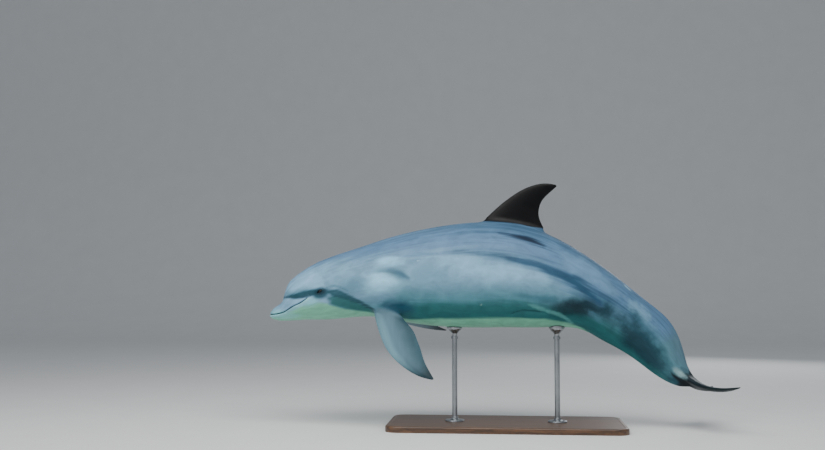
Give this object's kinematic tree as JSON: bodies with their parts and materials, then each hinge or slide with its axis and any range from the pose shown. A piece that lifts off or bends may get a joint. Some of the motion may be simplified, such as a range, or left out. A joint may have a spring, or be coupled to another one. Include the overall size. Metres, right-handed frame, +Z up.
{
  "type": "bottlenose dolphin model on a display stand",
  "caption": "Life-size still model of a grey bottlenose dolphin, gliding with its tail bent down, held over a flat base by short steel rods.",
  "frame": {"origin": "middle of the underside of the stand's base", "axes": "+Z up; the head points along -X and the tail lies along +X; the left side faces -Y"},
  "size_m": [2.1396, 0.6904, 1.1469],
  "materials": {
    "skin": "smooth wet-looking slate grey skin, dark on the back and pale below",
    "eye": "dark brown glossy eye",
    "stand_base": "satin varnish over dark stained oak",
    "stand_rod": "brushed and lightly polished"
  },
  "bodies": {
    "root": {"upper_beak": "skin", "lower_jaw": "skin", "head": "skin", "neck": "skin", "chest": "skin", "trunk": "skin", "tail_stock_front": "skin", "tail_stock_rear": "skin", "dorsal_fin": "skin", "flipper_left": "skin", "flipper_right": "skin", "fluke_left": "skin", "fluke_right": "skin", "eye_left": "eye", "eye_right": "eye", "stand_base": "stand_base", "stand_rod_front": "stand_rod", "stand_rod_rear": "stand_rod"}
  },
  "joints": []
}
